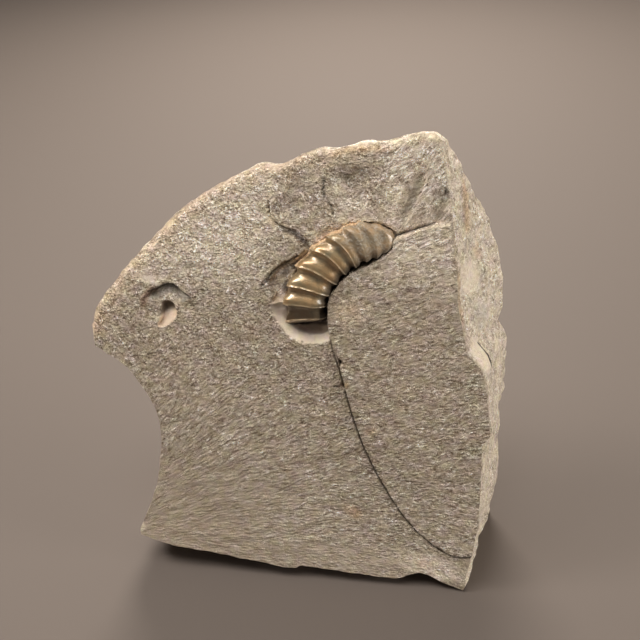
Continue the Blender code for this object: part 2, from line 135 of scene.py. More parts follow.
# The mould of a second, tiny ammonite: its undercut upper rim, and the pit at its middle
TINY_RIM = ((-38.0, 69.6), (-37.6, 71.2), (-36.4, 72.8), (-34.9, 73.7), (-33.6, 74.4), (-32.3, 75.1),
            (-30.9, 75.0), (-29.7, 74.4), (-28.4, 73.3), (-26.6, 72.2))
TINY_FLOOR = ((-25.6, 69.5), (-28.0, 65.5), (-32.0, 63.5), (-37.0, 65.5))
TINY_RIM_DEPTH, TINY_RIM_FADE = 1.15, 5.2
TINY_PIT = ((-33.6, 70.2), (-32.9, 70.9), (-31.9, 71.0), (-30.9, 70.5), (-30.2, 69.4), (-29.9, 68.0),
            (-30.7, 66.2), (-32.0, 64.9), (-33.8, 64.3), (-34.7, 64.8), (-34.0, 66.4), (-33.8, 68.4))
TINY_PIT_DEPTH, TINY_PIT_WALL = 1.6, 1.0
TINY_PIT_MIDDLE, TINY_PIT_LAY, TINY_PIT_RAMP = (-32.2, 68.6), (0.55, -0.84), 0.52

# Cracks that only open a little: their line, width and depth
FINE_CRACKS = (
    (((2.9, 101.5), (3.0, 98.0), (4.6, 95.6), (5.3, 93.6)), 0.28, 0.45),
    (((-9.8, 76.4), (-8.6, 78.2), (-7.5, 79.9), (-4.8, 82.0), (-2.2, 83.8)), 0.34, 0.55),
    (((18.8, 89.6), (21.0, 90.6), (22.5, 91.2), (24.6, 92.2), (27.0, 93.0)), 0.27, 0.42),
)

FACE_SWELL = 0.45
ROCK_SWELL = 1.5
HEAVE_PLACES = ((72.6, 28.5, 13.4), (62.9, 40.4, 71.9), (21.2, 28.8, 72.0))
GRAIN_HEIGHTS = ((4.2, 0.200), (2.0, 0.170), (1.1, 0.080))     # (mm across, mm high)
EDGE_CHIPS = ((3.3, 0.26), (1.2, 0.12))
PLATE_CHIPS = ((1.9, 0.10), (0.8, 0.05))
ROCK_CHIPS = ((2.6, 0.26), (1.15, 0.11))
LEDGE_DEPTH = 0.22              # of the bedding ledges on the broken sides

EDGE_STEP = 0.55
FACE_STEP = 0.50
DETAIL_STEP = 0.27
BACK_STEP = 1.25
WALL_RINGS = 20
DETAIL_AREAS = (((6.0, 77.5), 14.5), ((-32.3, 69.6), 6.8), ((-4.0, 90.5), 6.0))


def smooth_line(points, step):
    """Points every `step` mm along a smooth curve through the given ones."""
    points = [Vector(p) for p in points]
    ends = [2 * points[0] - points[1], *points, 2 * points[-1] - points[-2]]
    line = []
    for before, start, end, after in zip(ends, ends[1:], ends[2:], ends[3:]):
        count = max(1, round((end - start).length / step))
        for i in range(count):
            t = i / count
            line.append(0.5 * (2 * start + t * (end - before)
                               + t * t * (2 * before - 5 * start + 4 * end - after)
                               + t ** 3 * (3 * start - before - 3 * end + after)))
    return np.array([tuple(p) for p in line + [points[-1]]])


def sideways(line, closed=False):
    """The direction to the left of a line at each of its points."""
    if closed:
        run = np.roll(line, -1, axis=0) - np.roll(line, 1, axis=0)
    else:
        run = np.gradient(line, axis=0)
    return np.column_stack([-run[:, 1], run[:, 0]]) / np.hypot(*run.T)[:, None]


def in_batches(work, points, size=3000):
    """Run a function on some thousand points at a time, so that its tables stay small."""
    return np.concatenate([work(points[i:i + size]) for i in range(0, len(points), size)])


def inside(points, loop):
    """Which of the points lie inside a closed loop."""
    start, end = loop, np.roll(loop, -1, axis=0)
    rise = np.where(end[:, 1] == start[:, 1], 1.0, end[:, 1] - start[:, 1])

    def test(some):
        x, y = some[:, :1], some[:, 1:]
        spans = (start[:, 1] > y) != (end[:, 1] > y)
        crossing = start[:, 0] + (y - start[:, 1]) / rise * (end[:, 0] - start[:, 0])
        return (np.sum(spans & (x < crossing), axis=1) % 2).astype(bool)

    return in_batches(test, points)


def distance(points, line, closed=False):
    """How far each point is from a line of points."""
    start = line if closed else line[:-1]
    run = (np.roll(line, -1, axis=0) if closed else line[1:]) - start
    length = np.maximum(np.sum(run * run, axis=1), 1e-9)

    def measure(some):
        away_x = some[:, :1] - start[:, 0]
        away_y = some[:, 1:] - start[:, 1]
        along = np.clip((away_x * run[:, 0] + away_y * run[:, 1]) / length, 0.0, 1.0)
        away_x -= along * run[:, 0]
        away_y -= along * run[:, 1]
        return np.sqrt(np.min(away_x * away_x + away_y * away_y, axis=1))

    return in_batches(measure, points)


def ease(value):
    """0 below 0, 1 above 1, and a smooth rise between."""
    value = np.clip(value, 0.0, 1.0)
    return value * value * (3.0 - 2.0 * value)


def between(ends, part):
    return ends[0] + (ends[1] - ends[0]) * part


def swell(points, wavelength, seed):
    """Smooth unevenness between about -1 and 1; the seed picks which."""
    return np.array([noise.noise((x, y, seed)) for x, y in points / wavelength])


def chipped(line, closed, chips, seed):
    """Knock an edge in and out a little."""
    aside = sideways(line, closed)
    for wavelength, size in chips:
        line = line + aside * (size * swell(line, wavelength, seed))[:, None]
    return line


def face_edge(step):
    stretches = (RIGHT_EDGE_LOW, RIGHT_EDGE_MIDDLE, RIGHT_EDGE_TOP, TOP_EDGE, BITE, FOOT_EDGE)
    return np.concatenate([smooth_line(stretch, step) for stretch in stretches])


def plate_edge(step):
    """The plate's free edge: along its top, round the whorl and down the crack."""
    return np.concatenate([smooth_line(PLATE_TOP, step), smooth_line(PLATE_BY_WHORL, step),
                           smooth_line(PLATE_CRACK, step)])


def spiral_radius(angle):
    return SPIRAL_RADIUS * np.exp(SPIRAL_GROWTH * (angle - SPIRAL_START))


def along_whorl(points):
    """Angle, share of the whorl's length, and distance outward of its middle line."""
    x, y = points[:, 0] - SPIRAL_CENTRE[0], points[:, 1] - SPIRAL_CENTRE[1]
    angle = np.mod(np.arctan2(y, x), 2.0 * math.pi)
    part = (angle - SPIRAL_START) / (SPIRAL_END - SPIRAL_START)
    return angle, part, np.hypot(x, y) - spiral_radius(angle)


def dish(points, hollow, edge=1.35, wobble=0.18):
    """Depth of an oval hollow with an uneven rim."""
    (across, up), half_length, half_width, turn, depth = hollow
    x, y = points[:, 0] - across, points[:, 1] - up
    along = (x * math.cos(turn) + y * math.sin(turn)) / half_length
    aside = (y * math.cos(turn) - x * math.sin(turn)) / half_width
    return depth * ease(edge * (1.0 - np.hypot(along, aside)) + wobble * swell(points, 3.5, across))


def stepped(points, rim, floor, depth, fade):
    """Depth of an area that drops at its rim and rises again over the fade."""
    rim, floor = smooth_line(rim, 0.6), np.array(floor)
    area = np.concatenate([rim, floor])
    return inside(points, area) * depth * (1.0 - ease(distance(points, rim) / fade))


def recess_depth(points):
    """The flaked area above the whorl and the plate steps down, then rises to the rim."""
    left, right = smooth_line(RECESS_EDGE, 1.0), smooth_line(PLATE_TOP, 1.0)[::-1]
    area = np.concatenate([left, right, [(60.0, 120.0), (0.0, 120.0)]])
    away = distance(points, np.concatenate([left, right]))
    return inside(points, area) * RECESS_DEPTH * (1.0 - ease(away / RECESS_FADE))


def rim_drop(points):
    """The weathered rim along the top edge is rounded off, unevenly."""
    away = distance(points, smooth_line(TOP_EDGE, 1.2)) / RIM_ROUND_WIDTH
    return RIM_ROUND_DEPTH * (1.0 - ease(away + 0.3 * swell(points, 4.0, 5.0)))


def sunk(points, outline, depth, wall, sharp=0.0):
    """Depth of a hollow inside an outline; where it is sharp it drops at once from its edge."""
    outline = np.array(outline)
    share = np.clip(distance(points, outline, closed=True) / wall, 0.0, 1.0)
    profile = ease(share) * (1.0 - sharp) + (1.0 - (1.0 - share) ** 1.5) * sharp
    return inside(points, outline) * depth * profile


def whorl_taper(angle):
    """The narrow end rounds off."""
    return np.clip((angle - SPIRAL_START) / NARROW_END_LENGTH, 0.0, 1.0) ** NARROW_END_BLUNTNESS


def end_slant(angle, side):
    """The narrow end reaches further on its inner side than on its outer one."""
    return NARROW_END_SLANT * side * ease(1.0 - (angle - SPIRAL_START) / NARROW_END_SLANT_LENGTH)


def last_fall(angle):
    """0 along the whorl, rising to 1 where it sinks away at its broken end."""
    return ease((angle - LAST_FALL_FROM) / LAST_FALL_LENGTH)


def seat_depth(points, covered):
    """The whorl's seat: the lower half of its own form, a little larger."""
    angle, part, outward = along_whorl(points)
    share = np.clip(part, 0.0, 1.0)
    gap = between(SEAT_GAP, ease(share * 2.0))
    slanted = angle - end_slant(angle, np.clip(outward / between(WHORL_HALF_WIDTH, share), -1.0, 1.0))
    taper = whorl_taper(slanted)
    half_width = between(WHORL_HALF_WIDTH, share) * taper + gap
    half_width *= 1.0 - LAST_NARROWING * last_fall(angle) * (outward > 0.0)
    half_height = between(WHORL_HALF_HEIGHT, share) * taper + gap
    early, late = SPIRAL_START - slanted, angle - SPIRAL_END
    beyond = np.maximum(early / SEAT_ENDS[0], late / SEAT_ENDS[1]) * spiral_radius(angle)
    off = np.hypot(outward / half_width, np.maximum(beyond, 0.0))
    bowl = -between(WHORL_SINK, share) + half_height * np.sqrt(np.clip(1.0 - off * off, 0.0, 1.0))
    depth = np.where(off < 1.0, bowl, 0.0)
    beside = (outward < 0.8 - half_width) & (outward > -half_width - 2.5) & ~covered
    along = ease((part - 0.02) * 12.0) * ease((1.05 - part) * 20.0)
    return np.maximum(depth, beside * along * INNER_GAP_DEPTH)


def mould_depth(points):
    """The bowl below the whorl's broken end: a soft lip on its left, a sharp one below."""
    sharp = ease((points[:, 0] + 5.5) / 4.0)
    bowl = sunk(points, smooth_line(WHORL_MOULD, 0.6), WHORL_MOULD_DEPTH, WHORL_MOULD_WALL, sharp)
    return bowl * (0.45 + 0.55 * sharp)


def gully_depth(points):
    """The groove under the small flake scar, wider towards the whorl."""
    width = np.interp(points[:, 0], *GULLY_WIDTHS)
    return GULLY_DEPTH * ease(1.5 - 1.2 * distance(points, smooth_line(GULLY, 0.5)) / width)


def tiny_mould_depth(points):
    """A step down along the rim that tapers off at both ends, and the pit."""
    ends = np.hypot(*(points[None] - np.array(TINY_RIM)[[0, -1], None]).transpose(2, 0, 1)).min(axis=0)
    step = stepped(points, TINY_RIM, TINY_FLOOR, TINY_RIM_DEPTH, TINY_RIM_FADE) * ease(ends / 3.5)
    pit = sunk(points, smooth_line(TINY_PIT, 0.4), TINY_PIT_DEPTH, TINY_PIT_WALL, 1.0)
    ramp = TINY_PIT_RAMP * (3.1 - (points - TINY_PIT_MIDDLE) @ np.array(TINY_PIT_LAY))
    return step + np.minimum(pit, np.maximum(ramp, 0.0))


def groove(points, line, width, depth):
    away = distance(points, smooth_line(line, 0.5))
    return depth * (1.0 - ease(away / width))


def split_run(points):
    """How the split ran at each point: its direction, times how far it drew the grain out."""
    x, y = points.T
    fan = 0.80 * np.arctan2(y - 4.0, x + 47.0)
    fan_pull = ease((74.0 - y) / 45.0) * ease((95.0 - np.hypot(x + 47.0, y - 4.0)) / 60.0)
    flaked = ease((x - 15.0) / 6.0) * ease((y - 88.0) / 5.0)
    return fan * (1.0 - flaked) + math.radians(54.0) * flaked, 0.12 + 0.64 * fan_pull + 0.40 * flaked


def plate_run(points):
    """On the plate the streaks rise to the right, less so towards the foot."""
    y = points[:, 1]
    return np.radians(8.0 + 22.0 * ease((y - 8.0) / 60.0)), np.full(len(points), 0.38)


def drawn_grain(points, angle, pull, wavelength, seed):
    """Grain smeared along the way the split ran."""
    step = np.column_stack([np.cos(angle), np.sin(angle)]) * (pull * 0.75 * wavelength)[:, None]
    grains = [swell(points + k * step, wavelength, seed) for k in (-2, -1, 0, 1, 2)]
    return np.mean(grains, axis=0) * (1.0 + 0.9 * pull)


def face_height(points, covered, angle, pull):
    """How proud of the flat the stone's face is at each point."""
    height = FACE_SWELL * swell(points, 26.0, 1.0) + 0.35 * FACE_SWELL * swell(points, 7.0, 2.0)
    edge = plate_edge(1.0)
    off_edge = distance(points, edge)
    dips = recess_depth(points)
    for hollow in FLAKE_SCARS:
        dips += dish(points, hollow)
    mould, seat = mould_depth(points), seat_depth(points, covered)
    trench = sunk(points, TRENCH, TRENCH_DEPTH, TRENCH_WALL)
    dips = np.maximum.reduce([dips, dips * 0.5 + gully_depth(points), trench, mould, seat])
    plate = between((PLATE_HEIGHT_FOOT, PLATE_HEIGHT_TOP), ease((points[:, 1] - 20.0) / 60.0))
    height += np.where(covered, plate * ease(off_edge / PLATE_EDGE_WIDTH), -dips)
    height -= rim_drop(points)
    height -= tiny_mould_depth(points)
    height -= groove(points, PLATE_CRACK, CRACK_WIDTH, CRACK_DEPTH)
    for pit in CRACK_PITS:
        height -= dish(points, pit, edge=2.0)
    for line, width, depth in FINE_CRACKS:
        height -= groove(points, line, width, depth)
    rough = 1.0 - 0.8 * ease(np.maximum(seat, mould) / 0.6)
    for wavelength, size in GRAIN_HEIGHTS:
        height += size * rough * drawn_grain(points, angle, pull, wavelength, wavelength)
    return height


def back_depth(points):
    """How far behind the face the broken back lies."""
    depth = np.full(len(points), THICKNESS)
    for (across, up), (right, rise), start, slope in BROKEN_BACK:
        inward = (points[:, 0] - across) * right + (points[:, 1] - up) * rise
        depth = np.minimum(depth, start + slope * inward)
    return np.maximum(depth, 1.6)


def scattered(area, step, seed):
    """Points about `step` apart inside a closed edge, clear of the edge itself."""
    rng = np.random.default_rng(seed)
    low, high = area.min(axis=0), area.max(axis=0)
    rows = np.arange(low[1], high[1], step * 0.87)
    cols = np.arange(low[0], high[0], step)
    grid = np.array([(x + step / 2 * (i % 2), y) for i, y in enumerate(rows) for x in cols])
    grid += rng.uniform(-0.28 * step, 0.28 * step, grid.shape)
    grid = grid[inside(grid, area)]
    return grid[distance(grid, area, closed=True) > 0.55 * step]


def near_detail(points):
    close = np.zeros(len(points), dtype=bool)
    for middle, radius in DETAIL_AREAS:
        close |= np.hypot(*(points - middle).T) < radius
    return close


def skin(edge, spread, creases):
    """Triangles over the area inside the edge, with the creases kept as lines."""
    lines = [(i, (i + 1) % len(edge)) for i in range(len(edge))]
    flat = np.concatenate([edge, spread, *creases])
    first = len(edge) + len(spread)
    for crease in creases:
        lines += [(i, i + 1) for i in range(first, first + len(crease) - 1)]
        first += len(crease)
    coords, _, faces, origins, _, _ = delaunay_2d_cdt([Vector(p) for p in flat], lines, [], 1, 1e-5)
    place = {source: i for i, sources in enumerate(origins) for source in sources}
    return np.array([tuple(p) for p in coords]), [tuple(f) for f in faces], \
        np.array([place[i] for i in range(len(edge))])


def heave(points, wavelength):
    """A smooth push in some direction, each part of it between about -1 and 1."""
    pushes = [[noise.noise(p) for p in points / wavelength + np.array(away)] for away in HEAVE_PLACES]
    return np.array(pushes).T


def roughen(points, outward):
    """Break up the sides and the back; the face keeps its own relief."""
    fade = ease((-points[:, 2] - 0.6) / 4.0)[:, None]
    wave = ROCK_SWELL * (heave(points, 17.0) + 0.42 * heave(points, 6.0))
    chips = sum(size * heave(points, wavelength) for wavelength, size in ROCK_CHIPS)
    bedding = np.array([noise.noise((x / 11.0, y / 11.0, w / 0.9)) for x, y, w in points])
    ledges = (LEDGE_DEPTH * np.tanh(3.0 * bedding))[:, None] * outward
    return points + wave * fade + (chips + ledges) * ease(-points[:, 2] / 1.2)[:, None]


def flare(points):
    """Widen the stone to the right behind its face."""
    rate = np.interp(points[:, 1], FLARE_HEIGHTS, FLARE)
    share = np.clip((points[:, 0] - FLARE_FROM) / (FLARE_FULL - FLARE_FROM), 0.0, 1.0)
    moved = points.copy()
    moved[:, 0] += rate * share * np.maximum(-points[:, 2], 0.0)
    return moved


def stand_up(points):
    """From (across, up, proud of it) in mm to the frame in metres."""
    across, up, proud = points.T
    back = up * math.sin(LEAN) - proud * math.cos(LEAN) - FACE_TO_MIDDLE
    height = up * math.cos(LEAN) + proud * math.sin(LEAN)
    right = across * math.cos(ROLL) + height * math.sin(ROLL) - FOOT_SHIFT
    return np.column_stack([right, back, height * math.cos(ROLL) - across * math.sin(ROLL) + FOOT_RISE]) * MM


# The face and its edge
block_edge = chipped(face_edge(EDGE_STEP), True, EDGE_CHIPS, 31.0)
plate_foot = chipped(plate_edge(0.30), False, PLATE_CHIPS, 12.0)
plate_area = np.concatenate([plate_foot, [(60.0, 10.0), (60.0, 95.0)]])
plate_side = sideways(plate_foot)
plate_lines = [plate_foot[1:-2] + off * plate_side[1:-2] for off in (-CRACK_WIDTH, 0.0, PLATE_EDGE_WIDTH)]

wide = scattered(block_edge, FACE_STEP, 11)
fine = scattered(block_edge, DETAIL_STEP, 12)
spread = np.concatenate([wide[~near_detail(wide)], fine[near_detail(fine)]])
spread = spread[distance(spread, plate_foot) > 0.42]
face_flat, face_tris, face_border = skin(block_edge, spread, plate_lines)
covered = inside(face_flat, plate_area)
main_angle, main_pull = split_run(face_flat)
plate_angle, plate_pull = plate_run(face_flat)
run_angle = np.where(covered, plate_angle, main_angle)
run_pull = np.where(covered, plate_pull, main_pull)
face_slab = np.column_stack([face_flat, face_height(face_flat, covered, run_angle, run_pull)])

# The broken back, and the sides between the two borders
back_flat, back_tris, back_border = skin(block_edge, scattered(block_edge, BACK_STEP, 13), [])
back_slab = np.column_stack([back_flat, -back_depth(back_flat)])
front_edge, back_edge = face_slab[face_border], back_slab[back_border]
ring_parts = ((np.arange(1, WALL_RINGS) / WALL_RINGS) ** 1.25)[:, None, None]
walls = front_edge + (back_edge - front_edge) * ring_parts
edge_out = -sideways(block_edge, True)
wall_out = np.tile(np.column_stack([edge_out, np.zeros(len(edge_out))]), (WALL_RINGS - 1, 1))

slab = np.concatenate([face_slab, back_slab, walls.reshape(-1, 3)])
back_out = np.tile((0.0, 0.0, -1.0), (len(back_slab), 1))
outward = np.concatenate([np.zeros(face_slab.shape), back_out, wall_out])
first_wall = len(face_slab) + len(back_slab)
ring_ids = [face_border, *(np.arange(len(block_edge)) + first_wall + k * len(block_edge)
                           for k in range(WALL_RINGS - 1)), back_border + len(face_slab)]
faces = list(face_tris) + [tuple(i + len(face_slab) for i in reversed(f)) for f in back_tris]
for ring, behind in zip(ring_ids, ring_ids[1:]):
    faces += list(zip(np.roll(ring, -1), ring, behind, np.roll(behind, -1)))
faces = [tuple(int(i) for i in f) for f in faces]

block_mesh = bpy.data.meshes.new("mudstone_block")
block_mesh.from_pydata(stand_up(flare(roughen(slab, outward))), [], faces)


def store(mesh, name, values):
    """Keep a value or a vector at each point of a mesh for its material."""
    kind, field = ("FLOAT_VECTOR", "vector") if values.ndim == 2 else ("FLOAT", "value")
    mesh.attributes.new(name, kind, "POINT").data.foreach_set(field, values.astype(np.float32).ravel())


def on_face(values, elsewhere=0.0):
    """Values for the face's points, and one value for all the rest."""
    rest = np.full((len(slab) - len(face_slab), *values.shape[1:]), elsewhere)
    return np.concatenate([values, rest])


# Where the stone is pale in spots, weathered pale along the top edge and paler towards the top,
# with painted highlights on the rim, a ridge and the lit walls of the two moulds; stained with
# rust; dark with dirt and painted shade; grey and smooth; or in a mauve painted shade. All from
# 0 to 1
def near(line, reach, step=0.5):
    """1 on a line, falling to 0 at the reach."""
    return 1.0 - ease(distance(face_flat, smooth_line(line, step)) / reach)


def patch(across, up, half_length, half_width, turn, strength):
    """An oval patch of a colour, its turn in degrees."""
    return dish(face_flat, ((across, up), half_length, half_width, math.radians(turn), strength))


# Oval spots of a colour: (across, up, half length, half width, turn in degrees, strength)
# Among these, the long spot at (18.2, 99.0) is a painted highlight along a ridge.
PALE_SPOTS = (
    (-37.0, 76.2, 5.5, 1.9, -22.0, 0.9), (18.2, 99.0, 9.5, 2.2, 86.0, 0.9),
    (-6.2, 79.2, 2.4, 1.6, 50.0, 0.4), (33.0, 6.5, 9.0, 5.0, -10.0, 1.0),
    (-34.6, 66.0, 1.8, 1.0, 60.0, 0.6), (-41.0, 8.5, 3.0, 2.0, 60.0, 1.0),
    (10.6, 71.6, 6.0, 5.0, 40.0, 0.4),
)
RUST_SPOTS = (
    (13.4, 19.7, 4.0, 2.2, -40.0, 0.9), (10.6, 71.6, 6.0, 5.0, 40.0, 0.45),
    (-37.6, 71.0, 1.8, 1.2, 50.0, 0.9), (10.0, 53.6, 1.8, 1.2, 60.0, 1.0),
    (16.5, 42.6, 2.5, 1.5, 30.0, 0.9), (32.0, 7.0, 3.5, 1.6, -15.0, 0.7),
)
# These spots are painted shade: in the trench beside the whorl, in the flake hollows and above the plate's
# top edge.
SHADE_SPOTS = (
    (-2.6, 81.6, 2.4, 1.2, 35.0, 0.95), (-5.2, 79.4, 2.0, 1.2, 50.0, 0.8),
    (-5.0, 76.4, 3.0, 1.3, 80.0, 0.85), (-4.8, 79.0, 6.5, 3.2, 52.0, 0.30),
    (29.1, 100.2, 1.3, 0.7, 70.0, 0.85), (28.4, 94.6, 3.0, 1.6, -14.0, 0.5),
    (8.2, 100.8, 5.0, 1.8, 130.0, 0.30), (9.0, 97.4, 4.6, 1.2, 165.0, 0.25),
    (21.8, 98.0, 8.0, 1.7, 69.0, 0.35), (27.6, 97.0, 5.5, 2.2, 75.0, 0.28),
)
PALE_FLAKE = (-37.0, 76.0, 5.0, 1.7, -22.0, 1.0)
# On the broken right side: (up, behind the face, half height, half depth, strength)
SIDE_PALE = ((79.5, 9.0, 5.4, 5.2, 1.0), (61.8, 5.0, 5.5, 7.0, 1.0), (6.0, 4.0, 9.0, 6.0, 0.8))
SIDE_SLATE = ((79.5, 9.0, 5.4, 5.2, 0.7), (61.8, 5.0, 5.0, 6.5, 0.9), (69.5, 11.0, 5.0, 4.5, 0.5))
SIDE_RUST = ((95.0, 10.5, 8.0, 3.2, 0.95), (84.0, 14.0, 3.0, 1.6, 0.8), (76.0, 1.0, 9.0, 1.6, 0.6))
SIDE_DIRT = ((93.5, 9.5, 5.0, 2.4, 0.30), (78.0, 14.0, 3.5, 1.8, 0.25))
CRACK_HEAD = ((6.2, 64.8), (6.6, 62.8), (7.5, 60.2))
# A painted shadow runs along this line, under the whorl's broken end.
SHADOW_UNDER_WHORL_END = ((-2.6, 67.9), (0.0, 67.7), (2.6, 67.7), (4.8, 67.8))
RUSTY_RIM = ((4.6, 106.9), (8.5, 107.9), (13.5, 108.6), (17.0, 108.4))
PALE_CORNER = ((26.8, 112.0), (28.4, 110.8), (29.2, 106.5), (30.0, 101.0))

face_x, face_y = face_flat.T
left_share = ease((20.0 - face_x) / 30.0)
mould_edge = smooth_line(WHORL_MOULD, 0.6)
in_mould = inside(face_flat, mould_edge) & ~covered
mould_share = distance(face_flat, mould_edge, closed=True) / WHORL_MOULD_WALL
pit_edge = smooth_line(TINY_PIT, 0.4)
in_pit = inside(face_flat, pit_edge)
pit_side = (face_flat - TINY_PIT_MIDDLE) @ np.array(TINY_PIT_LAY)

# The narrow line right on the top edge is partly a painted highlight on the rounded rim.
pale_and_highlight = 1.15 * near(TOP_EDGE, 1.1, 1.2) + 0.25 * left_share * near(TOP_EDGE, 8.0, 1.2)
pale_and_highlight += 0.95 * ease((face_y - 68.0) / 18.0) * ease((-1.0 - face_x) / 14.0) * ~covered
pale_and_highlight += 0.62 * ease((face_y - 74.0) / 12.0) * covered + 0.20 * ease((face_y - 86.0) / 8.0) * ~covered
pale_and_highlight += 0.80 * ease((face_y - 96.0) / 11.0) * ease((face_x - 14.0) / 4.0)
pale_and_highlight += 0.19 * ease((38.0 - face_y) / 24.0) * ease((face_x + 24.0) / 26.0)
pale_and_highlight += 0.80 * near(PALE_CORNER, 1.6)
for spot in PALE_SPOTS:
    pale_and_highlight += patch(*spot)
# Cream with a painted highlight on the lit lower wall of the whorl's mould and on the lit side of the tiny
# pit
pale_and_highlight += 1.5 * in_mould * (1.0 - ease((mould_share - 0.60) / 0.20)) * ease((70.5 - face_y) / 2.0)
pale_and_highlight += 1.3 * in_pit * ease((pit_side - 0.3) / 0.5)
rust = 0.48 * left_share * near(TOP_EDGE, 6.0, 1.2) + 0.20 * near(TOP_EDGE, 4.0, 1.2)
rust += 1.3 * near(TINY_RIM[:4], 1.1) + 0.8 * in_pit * ease(pit_side)
rust += 0.7 * near(RUSTY_RIM, 1.2)
for spot in RUST_SPOTS:
    rust += patch(*spot)
# Mauve painted shade: in the whorl's mould below its broken end, along the left of the tiny mould's rim and
# in the pit's shaded half.
mauve_shade = in_mould * ease((mould_share - 0.66) / 0.18) * ease((face_x + 5.0) / 2.0) + near(TINY_RIM[:4], 1.2)
mauve_shade += 0.6 * in_pit * ease((0.4 - pit_side) / 0.5)
off_rim = distance(face_flat, smooth_line(TINY_RIM[2:9], 0.4))
below_rim = inside(face_flat, np.array(TINY_RIM + TINY_FLOOR))
spotty = 0.5 + 0.9 * swell(face_flat, 1.1, 8.0)
slate = below_rim * ease((2.7 - off_rim) / 1.2 + 0.6 * spotty - 0.3) * 0.75
slate = np.maximum(0.5 * in_mould * ease((face_x + 5.0) / 2.5), slate)
rim_shade = 0.35 * below_rim * ease((2.2 - off_rim) / 1.2) * ease(1.4 * spotty - 0.3)
past_tip = ease((along_whorl(face_flat)[1] - 0.02) * 5.0)
# Painted shade, with some dirt: in the cracks, pits and gully, under the tiny mould's rim, under the whorl's
# broken end, in the gap of its seat, in the pit's shaded half and in the shade spots.
dark = np.maximum.reduce([
    near(CRACK_HEAD + PLATE_CRACK, 0.45),
    0.9 * near(GULLY, 0.9) * ease((face_x + 8.0) / 3.0),
    near(TINY_RIM[2:8], 0.8, 0.3),
    0.8 * near(TINY_RIM[7:], 0.4, 0.3),
    near(SHADOW_UNDER_WHORL_END, 0.8, 0.3),
    ease(seat_depth(face_flat, covered) / 1.2) * past_tip,
    0.65 * in_pit * ease((0.5 - pit_side) / 0.9),
    rim_shade * (face_x < -32.0),
    *(0.9 * near(line, 1.4 * width) for line, width, depth in FINE_CRACKS),
    *(ease(dish(face_flat, pit)) for pit in CRACK_PITS),
    *(patch(*spot) for spot in SHADE_SPOTS),
])
calm = np.maximum.reduce([
    0.50 * ease((36.0 - face_y) / 16.0) * ease((8.0 - face_x) / 30.0) * ~covered,
    0.45 * ease((13.0 - face_y) / 5.0) * ~covered,
    0.20 * ease((face_y - 62.0) / 18.0) * covered,
    0.7 * near(TOP_EDGE, 1.0, 1.2),
    0.9 * (in_mould | in_pit) + 0.7 * patch(*PALE_FLAKE),
])
lay = np.column_stack([np.cos(run_angle), np.sin(run_angle), np.zeros(len(run_angle))]) * run_pull[:, None]


def side_patches(patches):
    """Patches of a colour on the broken right side."""
    total = np.zeros(len(slab))
    for up, behind, half_up, half_behind, strength in patches:
        off = np.hypot((slab[:, 1] - up) / half_up, (-slab[:, 2] - behind) / half_behind)
        total += strength * ease(2.2 * (1.0 - off))
    return total * (slab[:, 0] > 15.0) * (slab[:, 2] < -0.4)


pale_and_highlight = on_face(np.clip(pale_and_highlight, 0.0, 1.0)) + side_patches(SIDE_PALE)
slate = on_face(np.clip(slate, 0.0, 1.0)) + side_patches(SIDE_SLATE)
rust = on_face(np.clip(rust, 0.0, 1.0)) + side_patches(SIDE_RUST)
dirt_and_shade = on_face(dark) + side_patches(SIDE_DIRT)
store(block_mesh, "slab_place", slab)
store(block_mesh, "grain_lay", on_face(lay))
masks = {"pale_and_highlight": pale_and_highlight, "rust": rust, "mauve_shade": on_face(mauve_shade), "dirt_and_shade": dirt_and_shade, "slate": slate}
for label, values in masks.items():
    store(block_mesh, label, np.clip(values, 0.0, 1.0))
grain = (1.0 - 0.80 * np.clip(slate, 0.0, 1.0)) * on_face(1.0 - np.clip(calm, 0.0, 1.0), 0.85)
store(block_mesh, "grain", grain)
store(block_mesh, "right_side", 1.0 * (slab[:, 0] > 25.0) * (slab[:, 2] < -0.5))
store(block_mesh, "broken", ease(np.maximum(-slab[:, 2] - 0.5, 0.0) / 1.2))

# The sawn foot: everything below the floor is cut off flat
bm = bmesh.new()
bm.from_mesh(block_mesh)
whole = bm.verts[:] + bm.edges[:] + bm.faces[:]
cut = bmesh.ops.bisect_plane(bm, geom=whole, plane_co=(0, 0, 0), plane_no=(0, 0, -1), clear_outer=True)
rim = [item for item in cut["geom_cut"] if isinstance(item, bmesh.types.BMEdge)]
for side in rim:
    for vert in side.verts:
        vert.co.z = 0.0
bmesh.ops.triangle_fill(bm, edges=rim, use_beauty=True)
bmesh.ops.recalc_face_normals(bm, faces=bm.faces[:])
bm.to_mesh(block_mesh)
bm.free()
block_mesh.shade_smooth()
block_mesh.set_sharp_from_angle(angle=math.radians(52.0))


def new_group(name, result, **inputs):
    """An empty node group, its inputs and its result; an input without a value is a vector."""
    group = bpy.data.node_groups.new(name, "ShaderNodeTree")
    for label, value in inputs.items():
        kind = "NodeSocketVector" if value is None else "NodeSocketFloat"
        socket = group.interface.new_socket(name=label, in_out="INPUT", socket_type=kind)
        if value is not None:
            socket.default_value = value
    group.interface.new_socket(name=result, in_out="OUTPUT", socket_type="NodeSocketFloat")
    given, end = group.nodes.new("NodeGroupInput"), group.nodes.new("NodeGroupOutput")
    return group, given.outputs, end.inputs[result]


def wire(tree, node, **links):
    """Set or link a node's inputs: i0, i1 and so on are the first, the second; others go by name."""
    for label, value in links.items():
        socket = node.inputs[int(label[1:]) if label[1:].isdigit() else label]
        if isinstance(value, bpy.types.NodeSocket):
            tree.links.new(value, socket)
        else:
            socket.default_value = value
    return node


def maths(tree, operation, *values):
    node = tree.nodes.new("ShaderNodeMath")
    node.operation = operation
    return wire(tree, node, **{f"i{k}": v for k, v in enumerate(values)}).outputs[0]


def times(tree, first, second):
    return maths(tree, "MULTIPLY", first, second)


